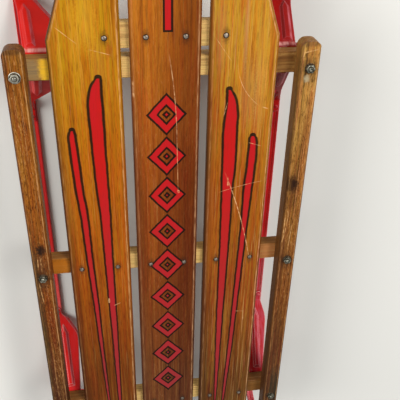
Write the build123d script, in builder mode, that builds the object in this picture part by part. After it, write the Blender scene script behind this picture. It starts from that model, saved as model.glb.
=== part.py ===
import os
from math import radians, sqrt, tan

from build123d import *

# A child's steerable runner sled: three slats on three benches, two side rails,
# pressed steel knees on flexible steel runners, and a wooden bar that steers.
# X is across the sled, +Y is its front, +Z is up, and the floor is Z = 0.
# All sizes are in millimetres.

# Deck
deck_height = 137.0          # floor to the top of the slats
slat_width = 88.9
slat_thickness = 11.0
slat_gap = 10.7
slat_round = 5.5             # rounding of a slat's top edges
slat_corner = 9.0            # plan radius of a slat's square corners
slat_tail = 138.0            # slat ends behind the rear bench's centre
outer_slat_reach = 176.0     # outer slats' front ends ahead of the front bench's centre
nose_overhang = 28.0         # centre slat's front end ahead of the steering pivot
nose_corner = 24.0
taper_start = 39.0           # where an outer slat's outer edge starts to close in
taper_rate = 0.33            # how far it closes in for each millimetre forward

# Cross pieces
bench_pitch = 304.8
bench_count = 3
bench_width = 28.0
bench_thickness = 20.0
bench_length = 380.0
bench_bevel = 1.2
cleat_width = 32.0
cleat_thickness = 15.0
cleat_length = 272.0
cleat_reach = 41.0           # cleat's centre ahead of the front bench's centre

# Side rails
rail_width = 26.0
rail_height = 24.0
rail_spacing = 365.0         # between the rails' centre lines
rail_round = 4.5             # rounding of a rail's long top edges
rail_corner = 10.0           # plan radius at a rail's ends
rail_reach = 34.0            # rail ends ahead of the front bench's centre
rail_tail = 118.0
rail_bolt_radius = 3.0
bolt_clearance = 0.15
end_flat = 1.0               # left square in the middle of a half-round end

# Runners
runner_spacing = 370.0       # between the runners' centre lines
runner_width = 13.0
runner_thickness = 6.0
groove_depth = 1.6           # hollow along the running face
groove_width = 8.0
groove_floor = 4.0
runner_rise_angle = 62.0     # slope of the front sweep
runner_rise_radius = 100.0
runner_top_radius = 26.0
runner_lip = 24.0            # level end under the bumper
runner_tail = 130.0          # straight part behind the rear bench's centre
curl_radius = 28.0
curl_angle = 150.0

# Bumper
bumper_width = 24.0
bumper_thickness = 4.0
bumper_bow = 52.0            # how far the middle stands ahead of the ends
bumper_reach = 275.0         # middle line at the sled's centre, ahead of the front bench's centre

# Steering
bar_length = 540.0
bar_width = 42.0
bar_end_width = 28.0
bar_thickness = 21.0
bar_bevel = 4.0
bar_shoulder = 120.0         # where the bar starts to narrow, from the centre line
bar_grip = 195.0             # where the hand grips start
pivot_radius = 4.0
pivot_clearance = 0.08
pivot_play = 0.2             # between the turning bar and the washers
pivot_head_radius = 9.5
pivot_head_height = 3.0
pivot_end = 3.0              # bolt's thread below its nut
washer_radius = 11.0
washer_thickness = 1.6
nut_width = 13.0
nut_height = 6.0
nut_room = 2.5               # between the pivot's nut and the bumper
link_spacing = 190.0         # between the bolts that tie the bar to the bumper
link_radius = 3.0
link_head_radius = 7.0
link_head_height = 2.6
link_gap = 1.0               # between a link bolt's end and the bumper
bumper_drop = 5.0            # bumper's top below the bar
rope_hole_radius = 5.0
rope_hole_inset = 26.0

# Rail bolts, each with its head under the knee or bench and its nut on the rail
rail_nut_width = 10.0
rail_nut_height = 5.0
rail_bolt_head_height = 3.5

# Knees: a pressed strip that bends down from under the bench to its feet on the runner
knee_thickness = 2.0
knee_bend = 6.0
knee_foot = 20.0
knee_plate_margin = 1.0      # between the top plate's edge and the bench's end
knee_step = 1.0              # top plate's edge beyond the bench, before the legs narrow
knee_foot_width = 10.0
knee_belly_round = 25.0      # plan radius of the legs' widest place
knee_cut_round = 15.0        # plan radius where the inner edge turns to the foot
knee_flange = 6.0            # depth of the turned-down edges, measured along Y
rib_width = 13.0             # pressed rib along each leg
rib_height = 3.5
rib_slope = 45.0             # of the rib's sides, off square
rib_point = 16.0             # length of the rib's point at the foot

# Knee legs, seen from above. Distances along the sled start at the bench's edge, and the
# edges are distances from the sled's centre line. A rib runs between two places, each given
# as its distance from the centre line and from the bench's edge.
knee_legs = {
    "short": dict(
        reach=70.0, bench_edge=175.0, belly_edge=184.0, belly_at=36.0,
        inner_edge=122.0, cut_from=14.0, cut_to=56.0, rib_from=(166.0, 4.0), rib_to=(176.0, 40.0),
    ),
    "long": dict(
        reach=108.0, bench_edge=172.0, belly_edge=181.0, belly_at=58.0,
        inner_edge=122.0, cut_from=16.0, cut_to=66.0, rib_from=(163.0, 4.0), rib_to=(170.0, 48.0),
    ),
    "wide": dict(
        reach=106.0, bench_edge=178.0, belly_edge=196.0, belly_at=66.0,
        inner_edge=152.0, cut_from=64.0, cut_to=92.0, rib_from=(168.0, 4.0), rib_to=(178.0, 76.0),
    ),
}
knees = {
    "front": dict(ahead="short", behind="long"),
    "rear": dict(ahead="wide", behind="wide"),
}

# Places worked out from the sizes above
front_length = bumper_reach + bumper_width / 2
rear_length = (bench_count - 1) * bench_pitch + runner_tail + curl_radius + runner_thickness / 2
front_bench_y = (rear_length - front_length) / 2
bench_ys = [front_bench_y - n * bench_pitch for n in range(bench_count)]
bench_places = dict(zip(("front", "middle", "rear"), bench_ys))
rear_bench_y = bench_ys[-1]
slat_bottom = deck_height - slat_thickness
bench_bottom = slat_bottom - bench_thickness
slat_step = slat_width + slat_gap
slat_rear_y = rear_bench_y - slat_tail
bumper_y = front_bench_y + bumper_reach
pivot_y = bumper_y - bumper_width / 2 - nut_room - nut_width / sqrt(3)
bar_top = slat_bottom - washer_thickness - pivot_play
bar_bottom = bar_top - bar_thickness
bumper_top = bar_bottom - bumper_drop
bumper_bottom = bumper_top - bumper_thickness
tip_y = bumper_y - bumper_bow
bow_radius = ((runner_spacing / 2) ** 2 + bumper_bow ** 2) / (2 * bumper_bow)
link_y = bumper_y - bow_radius + sqrt(bow_radius ** 2 - (link_spacing / 2) ** 2)
sides = {"left": -1, "right": 1}

os.makedirs("parts", exist_ok=True)


def save(piece, name):
    piece.part.label = name
    export_step(piece.part, f"parts/{name}.step")


# Slats. The top edges are rounded first, and the corners cut after.
with BuildPart() as slat_center:
    nose_y = pivot_y + nose_overhang
    with BuildSketch(Plane.XY.offset(slat_bottom)):
        with Locations((0, (slat_rear_y + nose_y) / 2)):
            Rectangle(slat_width, nose_y - slat_rear_y)
    extrude(amount=slat_thickness)
    fillet(slat_center.faces().sort_by(Axis.Z)[-1].edges(), radius=slat_round)
    with BuildSketch(Plane.XY.offset(slat_bottom)) as outline:
        with Locations((0, (slat_rear_y + nose_y) / 2)):
            Rectangle(slat_width, nose_y - slat_rear_y)
        fillet(outline.vertices().group_by(Axis.Y)[0], radius=slat_corner)
        fillet(outline.vertices().group_by(Axis.Y)[-1], radius=nose_corner)
    extrude(amount=slat_thickness, mode=Mode.INTERSECT)
    with Locations((0, pivot_y, deck_height)):
        Hole(radius=pivot_radius + bolt_clearance)
save(slat_center, "slat_center")

for side, sign in sides.items():
    with BuildPart() as slat_outer:
        inner_x = sign * (slat_step - slat_width / 2)
        outer_x = sign * (slat_step + slat_width / 2)
        front_y = front_bench_y + outer_slat_reach
        taper_y = front_bench_y + taper_start
        front_x = outer_x - sign * taper_rate * (front_y - taper_y)
        corners = [
            (inner_x, slat_rear_y), (outer_x, slat_rear_y), (outer_x, taper_y),
            (front_x, front_y), (inner_x, front_y),
        ]
        with BuildSketch(Plane.XY.offset(slat_bottom)):
            with BuildLine():
                Polyline(*corners, close=True)
            make_face()
        extrude(amount=slat_thickness)
        fillet(slat_outer.faces().sort_by(Axis.Z)[-1].edges(), radius=slat_round)
        with BuildSketch(Plane.XY.offset(slat_bottom)) as outline:
            with BuildLine():
                FilletPolyline(
                    *corners, radius=[slat_corner, slat_corner, 0, slat_corner, slat_corner], close=True
                )
            make_face()
        extrude(amount=slat_thickness, mode=Mode.INTERSECT)
    save(slat_outer, f"slat_{side}")

# Cleat that ties the slats together ahead of the front bench
with BuildPart() as front_cleat:
    with BuildSketch(Plane.XY.offset(slat_bottom - cleat_thickness)):
        with Locations((0, front_bench_y + cleat_reach)):
            Rectangle(cleat_length, cleat_width)
    extrude(amount=cleat_thickness)
    chamfer(front_cleat.edges().filter_by(Axis.X).group_by(Axis.Z)[0], length=bench_bevel)
save(front_cleat, "front_cleat")

# Benches, bored for the rail bolts
for place, bench_y in bench_places.items():
    with BuildPart() as bench:
        with BuildSketch(Plane.XY.offset(bench_bottom)):
            with Locations((0, bench_y)):
                Rectangle(bench_length, bench_width)
        extrude(amount=bench_thickness)
        chamfer(bench.edges().filter_by(Axis.X), length=bench_bevel)
        with Locations([(x, bench_y, slat_bottom) for x in (-rail_spacing / 2, rail_spacing / 2)]):
            Hole(radius=rail_bolt_radius + bolt_clearance)
    save(bench, f"bench_{place}")

# Side rails. The long top edges are rounded, and then the ends are cut round.
rail_front_y = front_bench_y + rail_reach
rail_rear_y = rear_bench_y - rail_tail
for side, sign in sides.items():
    with BuildPart() as rail:
        rail_center = (sign * rail_spacing / 2, (rail_front_y + rail_rear_y) / 2)
        with BuildSketch(Plane.XY.offset(slat_bottom)):
            with Locations(rail_center):
                Rectangle(rail_width, rail_front_y - rail_rear_y)
        extrude(amount=rail_height)
        fillet(rail.faces().sort_by(Axis.Z)[-1].edges().filter_by(Axis.Y), radius=rail_round)
        with BuildSketch(Plane.XY.offset(slat_bottom)) as outline:
            with Locations(rail_center):
                Rectangle(rail_width, rail_front_y - rail_rear_y)
            fillet(outline.vertices(), radius=rail_corner)
        extrude(amount=rail_height, mode=Mode.INTERSECT)
        with Locations([(sign * rail_spacing / 2, y, slat_bottom + rail_height) for y in bench_ys]):
            Hole(radius=rail_bolt_radius + bolt_clearance)
    save(rail, f"rail_{side}")

# Knees. The bends are drawn from the side and the legs' outline from above. The legs are
# stiffened by turned-down edges and by a rib pressed up out of the sheet.
runner_x = runner_spacing / 2
foot_inner = runner_x - knee_foot_width / 2
foot_outer = runner_x + knee_foot_width / 2
foot_round = (knee_foot_width - end_flat) / 2
plate_outer = bench_length / 2 - knee_plate_margin
plate_z = bench_bottom - knee_thickness
half_bench = bench_width / 2


def leg_outline(leg):
    """Corners and corner radii of one leg's outline, from the bench's outer to its inner side"""
    heel = leg["reach"] - knee_foot
    return [
        (plate_outer, 0, 0),
        (leg["bench_edge"], knee_step, 0),
        (leg["belly_edge"], leg["belly_at"], knee_belly_round),
        (foot_outer, heel, knee_cut_round),
        (foot_outer, leg["reach"], foot_round),
        (foot_inner, leg["reach"], foot_round),
        (foot_inner, leg["cut_to"], knee_cut_round),
        (leg["inner_edge"], leg["cut_from"], knee_cut_round),
    ]


def rib_outline(leg, bench_y, way, sign):
    """Plane of a leg's lower face along its rib, and the rib's corners, pointed at the foot"""
    run = leg["reach"] - knee_foot
    drop = plate_z - runner_thickness
    start, end = [
        Vector(sign * x, bench_y + way * (half_bench + u), plate_z - drop * u / run)
        for x, u in (leg["rib_from"], leg["rib_to"])
    ]
    along = end - start
    half_width = rib_width / 2
    corners = [
        (0, -half_width), (along.length - rib_point, -half_width), (along.length, 0),
        (along.length - rib_point, half_width), (0, half_width),
    ]
    return Plane(origin=start, x_dir=along, z_dir=(0, way * drop, run)), corners


for place, knee in knees.items():
    bench_y = bench_places[place]
    legs = [(1, knee_legs[knee["ahead"]]), (-1, knee_legs[knee["behind"]])]
    toes = [bench_y + way * (half_bench + leg["reach"]) for way, leg in legs]
    heels = [toe - way * knee_foot for toe, (way, leg) in zip(toes, legs)]
    for side, sign in sides.items():
        front_half = [(x, bench_y + half_bench + y, r) for x, y, r in leg_outline(legs[0][1])]
        rear_half = [(x, bench_y - half_bench - y, r) for x, y, r in leg_outline(legs[1][1])]
        corners = front_half + rear_half[::-1]
        with BuildSketch() as outline:
            with BuildLine():
                FilletPolyline(
                    *[(sign * x, y) for x, y, r in corners],
                    radius=[r for x, y, r in corners], close=True,
                )
            make_face()

        with BuildPart() as flanges:
            with BuildSketch(Plane.YZ):
                for heel, (way, leg) in zip(heels, legs):
                    edge_y = bench_y + way * half_bench
                    drop = knee_flange * (plate_z - runner_thickness) / (leg["reach"] - knee_foot)
                    with BuildLine():
                        Polyline(
                            (edge_y, plate_z), (heel, runner_thickness),
                            (heel - way * knee_flange, runner_thickness), (edge_y, plate_z - drop),
                            close=True,
                        )
                    make_face()
            extrude(amount=sign * bench_length)
            with BuildSketch():
                add(outline.sketch)
                offset(amount=-knee_thickness, mode=Mode.SUBTRACT)
            extrude(amount=deck_height, mode=Mode.INTERSECT)

        with BuildPart() as knee_part:
            with BuildSketch(Plane.YZ):
                with BuildLine():
                    FilletPolyline(
                        (toes[1], runner_thickness), (heels[1], runner_thickness),
                        (bench_y - half_bench, plate_z), (bench_y + half_bench, plate_z),
                        (heels[0], runner_thickness), (toes[0], runner_thickness),
                        radius=knee_bend,
                    )
                    offset(amount=knee_thickness, side=Side.LEFT)
                make_face()
            extrude(amount=sign * bench_length)
            with BuildSketch():
                add(outline.sketch)
            extrude(amount=deck_height, mode=Mode.INTERSECT)
            add(flanges.part)
            for way, leg in legs:
                slope, rib = rib_outline(leg, bench_y, way, sign)
                for face, mode in ((slope.offset(knee_thickness), Mode.ADD), (slope, Mode.SUBTRACT)):
                    with BuildSketch(face):
                        with BuildLine():
                            Polyline(*rib, close=True)
                        make_face()
                    extrude(amount=rib_height, taper=rib_slope, mode=mode)
            with Locations((sign * rail_spacing / 2, bench_y, bench_bottom)):
                Hole(radius=rail_bolt_radius + bolt_clearance)
        save(knee_part, f"knee_{place}_{side}")

# Runners: a grooved bar that curls up behind and sweeps up to the bumper in front
runner_mid = runner_thickness / 2
tail_y = rear_bench_y - runner_tail
lip_z = bumper_bottom - runner_mid
lip_end = tip_y + runner_lip / 2
top_corner = lip_end - runner_lip - runner_top_radius * tan(radians(runner_rise_angle / 2))
low_corner = top_corner - (lip_z - runner_mid) / tan(radians(runner_rise_angle))
half_section = [
    (runner_width / 2, -runner_mid), (runner_width / 2, runner_mid),
    (groove_width / 2, runner_mid), (groove_floor / 2, runner_mid - groove_depth),
]
for side, sign in sides.items():
    with BuildPart() as runner:
        with BuildLine(Plane.YZ.offset(sign * runner_x)) as path:
            curl = JernArc(
                start=(tail_y, runner_mid), tangent=(-1, 0), radius=curl_radius, arc_size=-curl_angle
            )
            FilletPolyline(
                (tail_y, runner_mid), (low_corner, runner_mid), (top_corner, lip_z), (lip_end, lip_z),
                radius=[runner_rise_radius, runner_top_radius],
            )
        with BuildSketch(Plane(origin=curl @ 1, x_dir=(1, 0, 0), z_dir=curl % 1)):
            with BuildLine():
                Polyline(*half_section, *[(-x, y) for x, y in half_section[::-1]], close=True)
            make_face()
        sweep(path=path.wires()[0])
    save(runner, f"runner_{side}")

# Bumper: a bowed strap between the runners' tips
with BuildPart() as bumper:
    with BuildSketch(Plane.XY.offset(bumper_bottom)):
        with BuildLine():
            bow = ThreePointArc((-runner_x, tip_y), (0, bumper_y), (runner_x, tip_y))
        SlotArc(bow, height=bumper_width)
    extrude(amount=bumper_thickness)
    with Locations([(x, link_y, bumper_top) for x in (-link_spacing / 2, link_spacing / 2)]):
        Hole(radius=link_radius + bolt_clearance)
save(bumper, "bumper")

# Steering bar, wide at its pivot and narrow at the hand grips
bar_profile = [(bar_shoulder, bar_width / 2), (bar_grip, bar_end_width / 2),
               (bar_length / 2, bar_end_width / 2)]
with BuildPart() as steering_bar:
    with BuildSketch(Plane.XY.offset(bar_bottom)) as outline:
        with BuildLine():
            quarter = [(x, pivot_y + y) for x, y in bar_profile]
            below = [(x, pivot_y - y) for x, y in reversed(bar_profile)]
            half = quarter + below
            Polyline(*half, *[(-x, y) for x, y in reversed(half)], close=True)
        make_face()
        fillet(outline.vertices().group_by(Axis.X)[0], radius=(bar_end_width - end_flat) / 2)
        fillet(outline.vertices().group_by(Axis.X)[-1], radius=(bar_end_width - end_flat) / 2)
    extrude(amount=bar_thickness)
    chamfer(steering_bar.faces().sort_by(Axis.Z)[-1].edges(), length=bar_bevel)
    chamfer(steering_bar.faces().sort_by(Axis.Z)[0].edges(), length=bar_bevel)
    with Locations((0, pivot_y, bar_top)):
        Hole(radius=pivot_radius + pivot_clearance)
    with Locations([(x, link_y, bar_top) for x in (-link_spacing / 2, link_spacing / 2)]):
        Hole(radius=link_radius)
    rope_x = bar_length / 2 - rope_hole_inset
    with Locations([(x, pivot_y, bar_top) for x in (-rope_x, rope_x)]):
        Hole(radius=rope_hole_radius)
save(steering_bar, "steering_bar")

# Pivot bolt through the nose, with its washers and nut
with BuildPart() as pivot_bolt:
    under_bar = bar_bottom - pivot_play
    nut_bottom = under_bar - washer_thickness - nut_height
    with BuildSketch(Plane.XY.offset(deck_height)):
        with Locations((0, pivot_y)):
            Circle(pivot_head_radius)
    extrude(amount=pivot_head_height)
    chamfer(pivot_bolt.edges().sort_by(Axis.Z)[-1], length=pivot_head_height / 2)
    with BuildSketch(Plane.XY.offset(nut_bottom - pivot_end)):
        with Locations((0, pivot_y)):
            Circle(pivot_radius)
    extrude(until=Until.NEXT)
    with BuildSketch(Plane.XY.offset(nut_bottom)):
        with Locations((0, pivot_y)):
            RegularPolygon(radius=nut_width / 2, side_count=6, major_radius=False)
    extrude(amount=nut_height)
    with BuildSketch(Plane.XY.offset(nut_bottom + nut_height)):
        with Locations((0, pivot_y)):
            Circle(washer_radius)
    extrude(amount=washer_thickness)
save(pivot_bolt, "pivot_bolt")

with BuildPart() as pivot_washer:
    with BuildSketch(Plane.XY.offset(slat_bottom - washer_thickness)):
        with Locations((0, pivot_y)):
            Circle(washer_radius)
            Circle(pivot_radius + bolt_clearance, mode=Mode.SUBTRACT)
    extrude(amount=washer_thickness)
save(pivot_washer, "pivot_washer")

# Link bolts, which end just above the bumper's holes so that the bar can turn
with BuildPart() as link_bolts:
    for x in (-link_spacing / 2, link_spacing / 2):
        with BuildSketch(Plane.XY.offset(bumper_top + link_gap)):
            with Locations((x, link_y)):
                Circle(link_radius)
        extrude(amount=bar_top - bumper_top - link_gap)
        with BuildSketch(Plane.XY.offset(bar_top)):
            with Locations((x, link_y)):
                Circle(link_head_radius)
        extrude(amount=link_head_height)
save(link_bolts, "link_bolts")

# Rail bolts
with BuildPart() as rail_bolts:
    rail_top = slat_bottom + rail_height
    for bench_y, seat in zip(bench_ys, (plate_z, bench_bottom, plate_z)):
        centers = [(x, bench_y) for x in (-rail_spacing / 2, rail_spacing / 2)]
        with BuildSketch(Plane.XY.offset(seat - rail_bolt_head_height)):
            with Locations(centers):
                RegularPolygon(radius=rail_nut_width / 2, side_count=6, major_radius=False)
        extrude(amount=rail_bolt_head_height)
        with BuildSketch(Plane.XY.offset(seat)):
            with Locations(centers):
                Circle(rail_bolt_radius)
        extrude(amount=rail_top - seat + rail_nut_height)
        with BuildSketch(Plane.XY.offset(rail_top)):
            with Locations(centers):
                RegularPolygon(radius=rail_nut_width / 2, side_count=6, major_radius=False)
        extrude(amount=rail_nut_height)
save(rail_bolts, "rail_bolts")
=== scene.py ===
from math import atan2, hypot, pi, radians

import bmesh
import bpy
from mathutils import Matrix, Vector


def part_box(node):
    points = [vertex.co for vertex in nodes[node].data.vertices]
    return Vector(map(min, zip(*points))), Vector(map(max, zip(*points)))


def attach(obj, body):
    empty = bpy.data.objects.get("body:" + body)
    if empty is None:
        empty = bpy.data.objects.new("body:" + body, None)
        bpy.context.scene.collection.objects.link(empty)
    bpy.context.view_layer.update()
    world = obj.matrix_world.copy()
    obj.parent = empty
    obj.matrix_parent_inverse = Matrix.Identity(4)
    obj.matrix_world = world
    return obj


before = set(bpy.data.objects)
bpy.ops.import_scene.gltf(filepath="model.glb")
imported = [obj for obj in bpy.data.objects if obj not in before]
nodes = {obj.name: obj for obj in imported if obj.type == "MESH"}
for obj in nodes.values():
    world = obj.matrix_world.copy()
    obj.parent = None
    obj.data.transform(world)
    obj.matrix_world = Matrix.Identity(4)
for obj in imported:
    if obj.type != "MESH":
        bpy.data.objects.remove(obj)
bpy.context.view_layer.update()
mm = 0.001
print("frame loaded with", len(nodes), "nodes")


# Camera, floor and light, in metres

view = {
    "place": (-0.07722, 0.51395, 0.87594),
    "turn": (-32.210, -8.751, 1.310),       # degrees
    "lens": 55.71,
    "nearest": 0.01,
}
studio = {
    "floorSize": 9.0,
    "floorColour": "#E0DED7",
    "floorRoughness": 0.9,
    "floorShine": 0.2,
    "skyColour": "#F2F5F8",
    "skyStrength": 0.32,
    "lamps": {                              # place, width and power in watts
        "key": ((2.2, 2.4, 3.9), 1.8, 190.0),
        "fill": ((-3.0, 1.2, 2.5), 2.4, 126.0),
    },
    "lampAim": (0.0, 0.0, 0.1),
}


def linearColour(hexValue):
    channels = [int(hexValue[i:i + 2], 16) / 255 for i in (1, 3, 5)]
    return [c / 12.92 if c <= 0.04045 else ((c + 0.055) / 1.055) ** 2.4 for c in channels] + [1.0]


def addNode(tree, kind, settings=None, links=None, output=0):
    node = tree.nodes.new("ShaderNode" + kind)
    for key, value in (settings or {}).items():
        if key == "stops":                  # colour ramp, as position and colour
            while len(node.color_ramp.elements) < len(value):
                node.color_ramp.elements.new(0.5)
            for element, (position, colour) in zip(node.color_ramp.elements, value):
                element.position = position
                element.color = linearColour(colour)
        elif key == "points":               # float curve
            curve = node.mapping.curves[0]
            while len(curve.points) < len(value):
                curve.points.new(0.5, 0.5)
            for point, place in zip(curve.points, value):
                point.location = place
            node.mapping.update()
        elif isinstance(key, int) or key in node.inputs:
            node.inputs[key].default_value = value
        else:
            setattr(node, key, value)
    for key, source in (links or {}).items():
        tree.links.new(source, node.inputs[key])
    return node.outputs if output is None else node.outputs[output]


def newMaterial(name):
    material = bpy.data.materials.new(name)
    material.use_nodes = True
    material.node_tree.nodes.clear()
    return material, material.node_tree


def finishWith(tree, settings, links=None):
    # every finish ends in one principled shader
    shader = addNode(tree, "BsdfPrincipled", settings, links)
    addNode(tree, "OutputMaterial", links={"Surface": shader}, output=None)


def newObject(name, data):
    item = bpy.data.objects.new(name, data)
    bpy.context.scene.collection.objects.link(item)
    return item


def meshObject(name, mesh, material):
    data = bpy.data.meshes.new(name)
    mesh.to_mesh(data)
    mesh.free()
    data.materials.append(material)
    return newObject(name, data)


def makeCamera():
    data = bpy.data.cameras.new("photoCamera")
    data.lens = view["lens"]
    data.clip_start = view["nearest"]
    camera = newObject("photoCamera", data)
    camera.location = view["place"]
    camera.rotation_euler = [radians(angle) for angle in view["turn"]]
    bpy.context.scene.camera = camera
    bpy.context.scene.view_settings.view_transform = "Standard"


def makeFloor():
    # matt floor paint, which gives the eye a plain pale ground with soft shadows
    material, tree = newMaterial("paleFloorPaint")
    finishWith(tree, {
        "Base Color": linearColour(studio["floorColour"]),
        "Roughness": studio["floorRoughness"],
        "Specular IOR Level": studio["floorShine"],
    })
    mesh = bmesh.new()
    bmesh.ops.create_grid(mesh, x_segments=1, y_segments=1, size=studio["floorSize"] / 2)
    floor = meshObject("floor", mesh, material)


def makeLight():
    world = bpy.data.worlds.new("paleSky")
    bpy.context.scene.world = world
    world.use_nodes = True
    background = world.node_tree.nodes["Background"]
    background.inputs["Color"].default_value = linearColour(studio["skyColour"])
    background.inputs["Strength"].default_value = studio["skyStrength"]
    for name, (place, width, power) in studio["lamps"].items():
        data = bpy.data.lights.new(name, "AREA")
        data.size = width
        data.energy = power
        lamp = newObject(name, data)
        lamp.location = place
        toAim = Vector(studio["lampAim"]) - Vector(place)
        lamp.rotation_euler = toAim.to_track_quat("-Z", "Y").to_euler()


makeCamera()
makeFloor()
makeLight()
print("camera, floor and light set")


# Marks that several finishes share. Each gives a mask from 0 to 1, with places in millimetres.

marks = {
    "lump": 2.4,                            # size of the lumps along a spot's edge
    "break": 6.0,                           # size of the breaks in a scratch
    "scratchEdge": {"From Min": 1.3, "From Max": 0.5},      # shares of its half width
    "stainEdge": (1.1, 0.3),                # shares of a spot's radius: its soft edge, and how far it strays
    "chipEdge": (0.4, 0.3),
    "plateEdge": (0.2, 0),
    "bevelSamples": 8,
}


def strongest(tree, *masks):
    total = masks[0]
    for mask in masks[1:]:
        total = addNode(tree, "Math", {"operation": "MAXIMUM"}, {0: total, 1: mask})
    return total


def overlap(tree, *masks):
    # shows only where all the masks do
    total = masks[0]
    for mask in masks[1:]:
        total = addNode(tree, "Math", {"operation": "MULTIPLY"}, {0: total, 1: mask})
    return total


def spotMask(tree, place, center, radii, soft, stray):
    # an oval seen from above
    stretched = addNode(tree, "Mapping", {
        "vector_type": "TEXTURE",
        "Location": (center[0] * mm, center[1] * mm, 0),
        "Scale": (radii[0] * mm, radii[1] * mm, 1),
    }, {"Vector": place})
    flat = addNode(tree, "VectorMath", {"operation": "MULTIPLY", 1: (1, 1, 0)}, {0: stretched})
    distance = addNode(tree, "VectorMath", {"operation": "LENGTH"}, {0: flat}, output="Value")
    lumps = addNode(tree, "TexNoise", {"Scale": 1 / (marks["lump"] * mm), "Detail": 3}, {"Vector": place})
    swing = 2 * stray                       # noise stays near its middle, so the stray is drawn larger
    lumps = addNode(tree, "Math", {"operation": "MULTIPLY_ADD", 1: 2 * swing, 2: -swing}, {0: lumps})
    total = addNode(tree, "Math", {"operation": "ADD"}, {0: distance, 1: lumps})
    return addNode(tree, "MapRange", {
        "interpolation_type": "SMOOTHSTEP", "From Min": 1 + soft / 2, "From Max": 1 - soft / 2,
    }, {"Value": total})


def scratchMask(tree, place, start, end, width, bow=0.0):
    # a line from start to end, whose middle strays to one side by bow
    run = (end[0] - start[0], end[1] - start[1])
    stretched = addNode(tree, "Mapping", {
        "vector_type": "TEXTURE",
        "Location": ((start[0] + end[0]) / 2 * mm, (start[1] + end[1]) / 2 * mm, 0),
        "Rotation": (0, 0, atan2(run[1], run[0])),
        "Scale": (hypot(*run) / 2 * mm, width / 2 * mm, 1),
    }, {"Vector": place})
    along, beside = addNode(tree, "SeparateXYZ", links={0: stretched}, output=None)[:2]
    bend = addNode(tree, "Math", {"operation": "MULTIPLY"}, {0: along, 1: along})
    offset = addNode(tree, "Math", {
        "operation": "MULTIPLY_ADD", 1: bow * 2 / width, 2: -bow * 2 / width}, {0: bend})
    beside = addNode(tree, "Math", {"operation": "ADD"}, {0: beside, 1: offset})
    farthest = strongest(tree, *[
        addNode(tree, "Math", {"operation": "ABSOLUTE"}, {0: distance}) for distance in (beside, along)])
    return addNode(tree, "MapRange", {
        "interpolation_type": "SMOOTHSTEP", **marks["scratchEdge"]}, {"Value": farthest})


def fadeMasks(tree, table, sources):
    masks = {}
    for name, (source, start, full, least) in table.items():
        masks[name] = addNode(tree, "MapRange", {
            "From Min": start, "From Max": full, "To Min": least}, {"Value": sources[source]})
    return masks


def blendColour(tree, mask, under, over, strength=1.0, mode="MIX"):
    # lays one colour over another where the mask says, or all over where there is none
    settings = {"data_type": "RGBA", "blend_type": mode, 0: strength}
    links = {6: under}
    if mask is not None:
        links[0] = addNode(tree, "Math", {"operation": "MULTIPLY", 1: strength}, {0: mask})
    if isinstance(over, str):
        settings[7] = linearColour(over)
    else:
        links[7] = over
    return addNode(tree, "Mix", settings, links, output=2)


# Sign paint, brushed on under the varnish: flat red in a black outline, duller behind and thin where
# the deck was rubbed. A colour has its strength beside it.

signPaint = {
    "fresh": "#B81612",
    "aged": "#8C2C2C",
    "thin": ("#AE1428", 0.3),
    "inFibre": ("#8A2018", 0.35),
    "outline": ("#120A06", 0.94),
    "redStrength": 0.97,
    "ageing": {"From Min": 0.10, "From Max": -0.30},        # metres along the sled, from fresh to aged
    "sweep": 17.0,                          # mm, how far apart a brush line's bends are
    "swing": 2.5,                           # larger than 1, as the noise stays near its middle
}

# The outer slats' stripes, from the front tip to the rear. Each point is its place along the sled, its
# distance from the centre line and the red's width.
stripes = {
    "outline": (5.2, 3.9, 1.8),             # mm of black ahead of the tip, beside it and at the tail
    "roundTip": [(0.0, 0.0), (0.06, 0.36), (0.25, 0.70), (0.60, 0.92)],     # shares of length and width
    "wobble": 0.42,
    "soft": 0.65,
    "left": [
        [(232.5, 84.9, 2.0), (229, 86.0, 5.4), (224, 87.6, 8.6), (216, 89.3, 11.4), (206, 90.3, 13.6),
         (190, 90.6, 15.0), (148, 90.0, 14.2), (87, 89.0, 13.4), (22, 87.2, 10.8), (-50, 86.7, 9.0),
         (-127, 86.0, 8.0), (-212, 85.0, 6.4), (-305, 84.6, 4.6), (-400, 84.2, 0.6)],
        [(162.6, 122.4, 1.6), (159, 123.0, 4.0), (152, 123.3, 5.8), (138, 122.8, 6.4), (120, 122.1, 6.6),
         (73, 119.9, 6.4), (24, 116.3, 6.6), (-47, 114.2, 5.6), (-125, 110.8, 5.0), (-208, 108.2, 3.8),
         (-302, 105.0, 3.0), (-390, 101.5, 0.6)],
    ],
    "right": [
        [(211, 82.0, 2.0), (207, 83.4, 4.6), (200, 85.0, 7.6), (190, 86.4, 10.4), (176, 86.6, 13.4),
         (158, 85.8, 15.2), (108, 86.4, 15.4), (59, 85.8, 12.6), (-10, 86.0, 11.2), (-85, 85.4, 9.8),
         (-147, 84.8, 8.2), (-233, 84.3, 6.4), (-330, 84.2, 3.6), (-410, 84.0, 0.6)],
        [(143, 117.6, 2.0), (141.5, 117.8, 4.6), (138, 118.2, 6.2), (129, 118.7, 7.2), (106, 118.5, 8.4),
         (57, 116.0, 8.6), (5, 114.5, 6.6), (-69, 111.8, 5.8), (-149, 108.8, 5.4), (-236, 105.6, 5.0),
         (-332, 101.0, 3.4), (-400, 97.5, 0.6)],
    ],
}


def brushWobble(tree, place, wobble):
    # a brush line strays by about this much to either side
    noise = addNode(tree, "TexNoise", {
        "Scale": 1 / (signPaint["sweep"] * mm), "Detail": 3, "Roughness": 0.65}, {"Vector": place})
    swing = signPaint["swing"] * wobble
    return addNode(tree, "MapRange", {"To Min": -swing, "To Max": swing}, {"Value": noise})


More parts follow.
